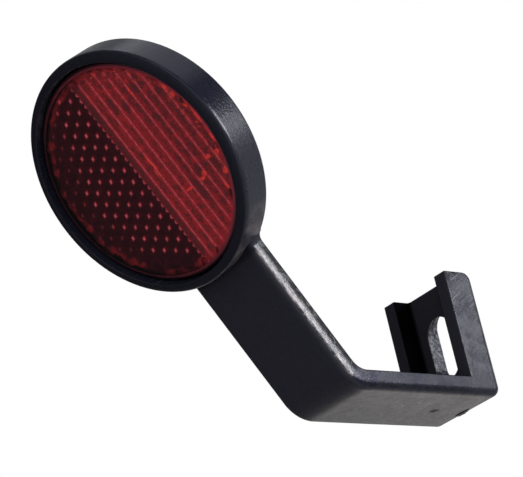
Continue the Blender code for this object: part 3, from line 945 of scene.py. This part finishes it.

# Places on the lens in millimetres from its middle: across, up, half width, half height
# painted flares, where cells send light back
FLARE_PLACES = (
    (4.1, 0.6, 0.25, 1.2), (4.5, -1.2, 0.25, 1.4), (3.6, -2.6, 0.2, 1.0), (14.4, -8.9, 0.7, 0.6),
    (13.3, -9.5, 0.8, 0.4), (8.4, -9.5, 1.1, 0.35), (21.2, 7.8, 0.7, 0.7), (20.9, 10.2, 0.7, 0.7),
    (22.3, 4.7, 0.5, 1.0), (22.8, 1.3, 0.4, 2.0), (22.7, -4.0, 0.4, 1.4), (21.4, -7.0, 0.9, 0.5),
    (19.8, -11.2, 0.9, 0.7), (17.5, -13.7, 0.35, 0.8), (18.2, -6.7, 0.9, 0.5), (12.2, 14.0, 0.3, 1.4))
DARK_PLACES = (
    (13.3, -7.7, 1.1, 1.1), (19.0, -8.8, 0.9, 1.2), (16.3, 14.7, 0.8, 1.0), (8.6, 12.5, 0.8, 1.8),
    (19.0, 9.7, 0.9, 1.1), (13.7, 14.0, 0.9, 1.0), (13.7, 6.7, 0.8, 1.0), (10.7, -10.3, 0.8, 2.9),
    (-0.1, 15.0, 0.8, 2.4), (5.6, 14.0, 0.8, 2.0), (11.4, -12.5, 0.8, 1.6))
# painted reflections along the lens's edge
EDGE_REFLECTION_PLACES = (
    (-23.7, 3.6, 1.2, 1.9), (-24.0, 0.8, 0.9, 1.7), (-23.3, -1.9, 1.1, 1.3), (-23.2, 6.8, 0.9, 0.9),
    (-20.9, 11.4, 1.1, 0.9), (-19.3, 14.2, 1.2, 0.7), (-16.7, 16.6, 1.7, 0.8), (-23.3, -6.4, 1.0, 0.8),
    (-21.4, -9.7, 1.0, 1.2), (-20.2, -11.6, 1.1, 0.8), (-18.4, -14.2, 1.5, 0.9), (-17.0, -16.2, 1.0, 0.7),
    (-5.0, 22.9, 2.6, 0.8), (-11.0, 20.9, 1.4, 0.5), (-1.2, -23.0, 2.4, 0.8), (2.4, -22.2, 1.5, 0.7),
    (7.5, -22.6, 3.0, 0.6), (13.0, -19.4, 2.6, 0.8))


def lens_place(paint, scene, plan):
    """The place on the lens in millimetres: across, up and from the middle, in its turned frame."""
    lens = scene.reflector_lens
    x, _, z = paint.axes(paint.position())
    up = z + float(plan.fixing[1])
    u = (x * cos(lens.turn) + up * sin(lens.turn)) * MILLIMETRES
    v = (up * cos(lens.turn) - x * sin(lens.turn)) * MILLIMETRES
    return u, v, (u * u + v * v).math("SQRT")


def patches(places, u, v, waver):
    """One inside any of the oval places, nought outside."""
    first, *others = [oval(u, v, place, waver) for place in places]
    return first.most(*others)


class PrismPaint:
    """Paints the prism cells with the light they send back, as painted glints and reflections: dots on dark
    cells at the left, bright lines and bands at the right.

    Lengths are millimetres on the lens. Fine, haze and sand are noises about nought.
    """

    def __init__(self, scene, plan):
        lens = scene.reflector_lens
        self.finish = scene.reflector_finish
        self.paint = Painter(bpy.data.materials.new("lens_prism_cells"))
        self.u, self.v, self.radius = lens_place(self.paint, scene, plan)
        self.pitch = lens.pitch * MILLIMETRES
        self.spacing = self.pitch * cos(pi / 6)
        self.split = lens.split * MILLIMETRES
        self.row_offset = lens.row_offset * MILLIMETRES
        self.place = self.paint.vector(self.u, self.v)
        self.fine = self.paint.waver(self.place, 1.6, 3.0, 0.7)
        self.haze = self.paint.waver(self.place, 0.55, 3.0, 0.6)
        self.sand = self.paint.waver(self.place, 3.2, 2.0, 0.7)

    def dots(self):
        """A painted glint at each point of a staggered lattice, with a painted glow to its right.

        Also gives each cell's random share.
        """
        paint, finish, u, v = self.paint, self.finish, self.u, self.v
        column = ((u - self.split) / self.spacing + 0.5).floor()
        du = u - self.split - column * self.spacing
        lift = column.odd() * (self.pitch / 2) + self.row_offset
        row = ((v - lift) / self.pitch + 0.5).floor()
        dv = v - lift - row * self.pitch
        chance = paint.luck(column, row, 3.0)
        diamond = (du * 0.65 - dv * 0.76).absolute() * 1.35 + (du * 0.76 + dv * 0.65).absolute() * 0.92
        diamond = diamond + self.fine * 0.60
        above_corner = (v + u * 0.532 + 22.0).step(-0.5, 0.5)
        upper_left = (u * 0.88 + 17.9 - v * 0.473).step(-1.2, 2.2)
        lower_left = (u * 0.949 + 16.9 + v * 0.316).step(-2.0, 1.0)
        here = above_corner * self.radius.step(24.4, 23.2)
        bright = here * upper_left * lower_left * (0.60 + chance * 0.40) + here * 0.12
        glow = du.near(0.7, 1.5, 0.2) * dv.absolute().step(0.75, 0.15) * bright
        between = (self.fine * 0.7 + self.haze * 0.9 + 0.30).step(0.05, 0.75)
        tone = paint.mix(between * 0.65, finish.dark, finish.maroon)
        tone = paint.mix(glow * 0.55, tone, finish.maroon)
        tone = paint.mix(diamond.step(1.20, 0.55) * bright * 0.80, tone, finish.halo)
        return paint.mix(diamond.step(0.74, 0.28) * bright, tone, finish.dot), chance

    def bands(self):
        """A painted highlight line down each column, knotted at each row, with mottled bands of painted
        light and painted rays between.
        """
        paint, finish, u, v = self.paint, self.finish, self.u, self.v
        first_line = 1.50
        column = ((u - first_line) / self.spacing + 0.5).floor()
        across = u - first_line - column * self.spacing
        knot = ((v - column.odd() * (self.pitch / 2)) / self.pitch).ramp()
        fold = across.absolute()
        outward = u.step(3.0, 17.0)
        blotch = paint.waver(paint.vector((across + column * 37.0) * 0.35, v * 0.62), 1.0, 3.0, 0.65)
        hatch = paint.waver(paint.vector(fold * 0.8 + column * 11.0, v * 2.0 + fold * 1.5), 1.4, 2.0, 0.6)
        chance = paint.luck(column, across.step(-0.01, 0.01), 7.0)
        mottle = blotch * 3.6 + hatch * 2.6 + self.sand * 4.5 + (chance - 0.5) * 0.35
        shade = fold.step(0.35, 1.05) * 0.42 + outward * 0.16 + mottle + 0.10
        tone = paint.mix(shade.step(-0.25, 1.15), finish.band, finish.band_dark)
        ray = paint.noise(paint.vector(u * 2.6, v * 0.40), 1.0, 3.0, 0.7)
        ray = (ray + self.sand * 0.8).step(0.55, 0.72) * u.near(5.5, 7.0, 2.5)
        tone = paint.mix(ray * 0.40, tone, finish.flare)
        uneven = paint.waver(paint.vector(column * 23.0, v * 0.8), 1.0, 3.0, 0.7)
        line = (fold + self.fine * 0.30).step(0.42, 0.06) * self.radius.step(24.2, 22.4)
        line = line * (uneven * 3.0 + self.sand * 4.5 + knot * 0.15 + 0.66) * (1.0 - outward * 0.22)
        return paint.mix(line.held(), tone, finish.line)

    def joined(self, left, chance, right):
        """The two halves with their border, a column of small teeth of painted highlight that point left."""
        paint, finish, u, v = self.paint, self.finish, self.u, self.v
        tooth = ((v - self.row_offset) / (self.pitch / 2) + 0.5).ramp()
        border = u - tooth * 0.62 - (self.split - 0.50) + self.fine * 0.5
        tone = paint.mix(border.step(-0.12, 0.12), left, right)
        gap = u.near(self.split + 0.95, 1.10, 0.40) * (self.sand * 2.4 + 0.76).least(1.0)
        tone = paint.mix(gap, tone, finish.band_dark)
        teeth = border.near(0.15, 0.36, 0.06) * tooth.step(0.75, 0.20)
        teeth = teeth * (0.35 + chance * 0.6 + self.sand * 2.0)
        tone = paint.mix(teeth.held(), tone, finish.line)
        dim = (self.radius + self.haze * 3.0).step(20.5, 23.6) * (v * 0.045 - u * 0.04).step(0.25, 0.95)
        return paint.mix(dim * u.step(self.split - 2.0, self.split) * 0.7, tone, finish.maroon)

    def marked(self, tone):
        """The cells with their single dark places, their painted glare and glow, the broken red edge of
        painted reflections, and painted shade towards the cup.
        """
        paint, finish, u, v = self.paint, self.finish, self.u, self.v
        waver = self.fine * 4.0 + self.haze * 1.6 + self.sand * 3.0
        tone = paint.mix(patches(DARK_PLACES, u, v, waver) * 0.70, tone, finish.band_dark)
        fringe = (self.radius + self.haze * 3.0).step(19.0, 22.0) * (u * 0.82 + v * 0.57).step(6.0, 15.0)
        fringe = fringe * u.step(self.split + 1.0, self.split + 5.0)
        broken = paint.noise(self.place, 0.85, 3.0, 0.7) + self.sand * 0.25
        tone = paint.mix(broken.step(0.47, 0.38) * fringe * 0.75, tone, finish.band_dark)
        tone = paint.mix(broken.step(0.55, 0.66) * fringe * 0.60, tone, finish.flare)
        cloud = paint.noise(self.place, 0.13, 3.0, 0.6)
        glow = (self.radius + self.haze * 1.6).step(22.6, 23.6)
        glow = glow * (cloud * 1.4 + u * 0.012).step(0.45, 0.85)
        tone = paint.mix(glow * 0.50, tone, finish.band)
        # the broken red edge: painted reflections
        edge = patches(EDGE_REFLECTION_PLACES, u, v, waver + self.haze * 5.0) * (self.fine * 2.0 + 0.40)
        tone = paint.mix(edge.held(), tone, finish.band)
        flare = patches(FLARE_PLACES, u, v, waver) * (self.fine * 2.6 + self.sand * 3.5 + 0.80)
        tone = paint.mix(flare.held(), tone, finish.flare)
        # painted shade towards the cup's lip
        return paint.mix(self.radius.step(23.9, 25.0) * 0.80, tone, finish.rim_painted_shade)

    def material(self):
        """The finished material."""
        tone = self.marked(self.joined(*self.dots(), self.bands()))
        self.paint.surface(Base_Color=tone, Roughness=0.32, Specular_IOR_Level=0.2)
        return self.paint.owner


def cell_centres(lens):
    """Centres of the hexagonal cells that reach the window, in the lens's own frame."""
    spacing = lens.pitch * cos(pi / 6)
    columns = int(lens.radius / spacing) + 2
    rows = int(lens.radius / lens.pitch) + 2
    column, row = np.meshgrid(np.arange(-columns, columns + 1), np.arange(-rows, rows + 1))
    across = lens.split + column * spacing
    up = lens.row_offset + (column % 2) * lens.pitch / 2 + row * lens.pitch
    reached = np.hypot(across, up) < lens.radius - lens.pitch * 0.45
    return np.stack((across, up), axis=-1)[reached]


def prism_facets(lens):
    """The cells' facets as (cell, facet, corner, axis): three rhombs round each centre.

    The centre stands forward by the relief, and the hexagon's corners stand alternately
    back and forward by a third of it.
    """
    centres = cell_centres(lens)
    turns = np.arange(6) * pi / 3
    ring = np.stack((np.cos(turns), np.sin(turns)), axis=-1) * lens.pitch / sqrt(3)
    heights = lens.cell_depth + np.where(np.arange(6) % 2 == 0, 0.35, -0.35) * lens.cell_relief
    corners = np.concatenate((centres[:, None] + ring,
                              np.broadcast_to(heights[None, :, None], (len(centres), 6, 1))), axis=-1)
    tips = np.column_stack((centres, np.full(len(centres), lens.cell_depth - lens.cell_relief)))
    around = corners[:, (np.array((0, 2, 4))[:, None] + np.arange(3)) % 6]
    return np.concatenate((np.broadcast_to(tips[:, None, None], (len(centres), 3, 1, 3)), around), axis=2)


class REFLECTOR_OT_cells(bpy.types.Operator):
    """Build the lens's prism cells: a hexagonal lattice of shallow cube corners.

    Each cell is three rhombic facets that meet at its raised centre, its outer corners
    standing alternately high and low
    """

    bl_idname = "reflector.cells"
    bl_label = "Prism cells"

    def execute(self, context):
        scene = context.scene
        lens = scene.reflector_lens
        plan = SidePlan(scene)
        shape = Shape()
        shape.quads(self.seated(prism_facets(lens), lens))
        turn = np.linspace(0.0, 2 * pi, 128, endpoint=False)
        edge = np.column_stack((np.cos(turn), np.sin(turn))) * (lens.radius - BACKING_INSET)
        backing = np.column_stack((edge, np.full(len(edge), lens.cell_depth + BACKING_GAP)))
        shape.outline(self.seated(backing, lens))
        piece = shape.make("lens_prism_cells", PrismPaint(scene, plan).material(), plan, smooth=radians(1.0))
        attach(piece, BODY)
        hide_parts("reflector_lens")
        return {"FINISHED"}

    def seated(self, points, lens):
        """Points of the lens's own frame (across, up, depth), turned as it sits in the cup."""
        across = points[..., 0] * cos(lens.turn) - points[..., 1] * sin(lens.turn)
        up = points[..., 0] * sin(lens.turn) + points[..., 1] * cos(lens.turn)
        return np.stack((across, points[..., 2], up), axis=-1)


def rim_material(scene, plan):
    """The lens's plain edge: dull crimson, painted lit at the right and shaded at the left, that fades to
    near black at the cup as painted shade.
    """
    finish = scene.reflector_finish
    paint = Painter(bpy.data.materials.new("lens_rim"))
    u, _, radius = lens_place(paint, scene, plan)
    blotch = paint.noise(paint.position(), 420.0, 3.0, 0.6)
    lit = (u * 0.019 + blotch * 0.5 + 0.23).step(0.0, 1.0)
    # painted light: the rim is lit towards the right and shaded towards the left
    inner = paint.mix(lit, finish.rim_shaded_left, finish.rim)
    edge = scene.reflector_lens.radius * MILLIMETRES
    fade = (radius + (blotch - 0.5) * 0.3).step(edge - 1.35, edge - 0.25)
    tone = paint.mix(fade, inner, finish.rim_painted_shade)
    paint.surface(Base_Color=tone, Roughness=0.45, Specular_IOR_Level=0.1)
    return paint.owner


def window_material():
    """The lens's clear front: a mirror for light that meets it at a slant, open elsewhere."""
    paint = Painter(bpy.data.materials.new("lens_window"))
    clear = paint.node("ShaderNodeBsdfTransparent", "BSDF", Color=(1.0, 1.0, 1.0))
    paint.surface(Base_Color=(1.0, 1.0, 1.0), Metallic=1.0, Roughness=0.03)
    share = paint.node("ShaderNodeFresnel", "Fac", IOR=1.49)
    paint.blend(share, clear, paint.shader.outputs["BSDF"])
    return paint.owner


class REFLECTOR_OT_front(bpy.types.Operator):
    """Build the lens's rim and its clear window.

    The rim is a plain band and a quarter-circle shoulder turned about the axis, and the
    window is the flat disc inside it
    """

    bl_idname = "reflector.front"
    bl_label = "Lens front"

    def execute(self, context):
        scene = context.scene
        lens = scene.reflector_lens
        plan = SidePlan(scene)
        sines, cosines = quarter(8)
        inner = lens.radius - lens.shoulder - lens.rim_width
        band = np.concatenate((
            [(inner, lens.recess)],
            np.column_stack((lens.radius - lens.shoulder * (1 - sines),
                             lens.recess + lens.shoulder * (1 - cosines))),
            [(lens.radius, lens.recess + lens.shoulder + 0.001)]))
        rim = Shape()
        rim.grid(turned(band, steps=256), closed=True)
        piece = rim.make("lens_rim", rim_material(scene, plan), plan)
        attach(piece, BODY)
        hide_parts("reflector_lens")
        disc = Shape()
        rings = [(share * inner, lens.recess) for share in (0.0, 0.25, 0.5, 0.75, 1.0)]
        disc.grid(turned(np.array(rings), steps=128), closed=True)
        window = disc.make("lens_window", window_material(), plan)
        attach(window, BODY)
        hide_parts("reflector_lens")
        return {"FINISHED"}


def seen_white(paint, kind):
    """Show plain white, made by a node of a kind, for what the camera sees directly."""
    path = paint.node("ShaderNodeLightPath", "Is Camera Ray")
    seen = path.most(Term(paint.tree, path.socket.node.outputs["Is Transmission Ray"]))
    white = paint.node(kind, 0, Color=(1.0, 1.0, 1.0), Strength=1.0)
    paint.blend(seen, paint.shader.outputs[0], white)


COOL = (0.92, 0.94, 1.0)
# Name, which also tells the setting of its watts, the place it faces and the way to it from
# there, its distance and sides in metres, and its tint
LIGHTS = (
    ("key", "cup", (0.184, 0.737, 0.649), 0.75, (0.76, 0.40), COOL),
    ("side", "cup", (0.575, 0.723, -0.405), 0.75, (0.25, 0.55), COOL),
    ("strip", "cup", (0.838, 0.436, -0.330), 0.75, (0.32, 0.58), COOL),
    ("fill", "cup", (-0.52, 0.690, 0.50), 0.90, (0.70, 0.70), COOL),
    ("front", "middle", (0.55, -0.60, 0.58), 0.90, (1.6, 1.6), (1.0, 0.99, 1.0)),
    ("under", "heel", (-0.684, 0.309, -0.661), 0.12, (0.12, 0.06), (1.0, 0.93, 0.84)),
)
HEEL_PLACE = (0.0, -0.030, -0.017)
CAMERA_PLACE = (0.319071, -0.375491, 0.054102)
CAMERA_TURN = (1.529454, 0.645876, 0.728849)
FLOOR_REACH = 3.0


class REFLECTOR_OT_studio(bpy.types.Operator):
    """Set up the pale floor, the soft lights, the white surroundings and the camera"""

    bl_idname = "reflector.studio"
    bl_label = "Studio"

    def execute(self, context):
        scene = context.scene
        studio = scene.reflector_studio
        plan = SidePlan(scene)
        self.floor(studio, plan)
        self.room(scene, studio)
        faced = {
            "cup": Vector((0.0, -plan.fixing[0], -plan.fixing[1])),
            "heel": Vector(HEEL_PLACE),
            "middle": (Vector(CAD_BOX[0]) + Vector(CAD_BOX[1])) / 2,
        }
        for name, place, way, distance, sides, tint in LIGHTS:
            self.light(name + "_light", faced[place], way, distance, sides, getattr(studio, name), tint)
        self.camera(scene, studio)
        scene.view_settings.view_transform = "Standard"
        return {"FINISHED"}

    def floor(self, studio, plan):
        """A wide pale floor below the object, which the camera sees as white."""
        low = CAD_BOX[0][2] - studio.floor_gap
        shape = Shape()
        ends = np.linspace(-FLOOR_REACH, FLOOR_REACH, 3)
        across, along = np.meshgrid(ends, ends)
        shape.grid(np.stack((across, along, np.full_like(across, low)), axis=-1))
        paint = Painter(bpy.data.materials.new("studio_floor"))
        paint.surface(Base_Color=(0.8, 0.8, 0.8), Roughness=0.9)
        seen_white(paint, "ShaderNodeEmission")
        floor = shape.make("studio_floor", paint.owner, plan)
        floor.data.transform(Matrix.Translation((0.0, plan.fixing[0], plan.fixing[1])))

    def room(self, scene, studio):
        """A dim grey room that the camera sees as white."""
        paint = Painter(bpy.data.worlds.new("studio_room"))
        paint.surface(Color=(0.95, 0.97, 1.0), Strength=studio.room)
        seen_white(paint, "ShaderNodeBackground")
        scene.world = paint.owner

    def light(self, name, faced, way, distance, sides, watts, tint):
        """A soft rectangular light that faces a place."""
        data = bpy.data.lights.new(name, "AREA")
        data.color = tint
        data.shape = "RECTANGLE"
        data.size, data.size_y = sides
        data.energy = watts
        lamp = bpy.data.objects.new(name, data)
        bpy.context.scene.collection.objects.link(lamp)
        way = Vector(way).normalized()
        lamp.location = faced + way * distance
        lamp.rotation_euler = way.to_track_quat("Z", "Y").to_euler()
        lamp.visible_camera = False

    def camera(self, scene, studio):
        """The camera, where the photograph was taken from."""
        data = bpy.data.cameras.new("camera")
        data.lens = studio.lens_length
        data.sensor_width = 36.0
        data.clip_start, data.clip_end = 0.01, 20.0
        camera = bpy.data.objects.new("camera", data)
        scene.collection.objects.link(camera)
        camera.location = CAMERA_PLACE
        camera.rotation_euler = CAMERA_TURN
        scene.camera = camera


class REFLECTOR_PT_panel(bpy.types.Panel):
    """Sizes, colours and the steps that build the reflector"""

    bl_idname = "REFLECTOR_PT_panel"
    bl_label = "Reflector"
    bl_space_type = "VIEW_3D"
    bl_region_type = "UI"
    bl_category = "Reflector"

    def draw(self, context):
        layout = self.layout
        for label, name in GROUPS:
            box = layout.box()
            box.label(text=label)
            settings = getattr(context.scene, name)
            for key in settings.__annotations__:
                box.prop(settings, key)
        for operator in STEPS:
            layout.operator(operator.bl_idname)


GROUPS = (
    ("Cup", "reflector_cup"),
    ("Arm and leg", "reflector_strip"),
    ("Foot", "reflector_foot"),
    ("Gate mark", "reflector_gate"),
    ("Lens", "reflector_lens"),
    ("Finish", "reflector_finish"),
    ("Studio", "reflector_studio"),
)
SETTINGS = (CupSettings, StripSettings, FootSettings, GateSettings, LensSettings, FinishSettings,
            StudioSettings)
STEPS = (REFLECTOR_OT_cup, REFLECTOR_OT_strip, REFLECTOR_OT_foot, REFLECTOR_OT_gate,
         REFLECTOR_OT_cells, REFLECTOR_OT_front, REFLECTOR_OT_studio)


def register():
    """Make the settings, steps and panel known."""
    for kind in SETTINGS + STEPS + (REFLECTOR_PT_panel,):
        bpy.utils.register_class(kind)
    for (_, name), kind in zip(GROUPS, SETTINGS):
        setattr(bpy.types.Scene, name, PointerProperty(type=kind))


def unregister():
    """Forget them again."""
    for _, name in GROUPS:
        delattr(bpy.types.Scene, name)
    for kind in reversed(SETTINGS + STEPS + (REFLECTOR_PT_panel,)):
        bpy.utils.unregister_class(kind)


def main():
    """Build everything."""
    register()
    for operator in STEPS:
        group, name = operator.bl_idname.split(".")
        getattr(getattr(bpy.ops, group), name)()


if __name__ == "__main__":
    main()
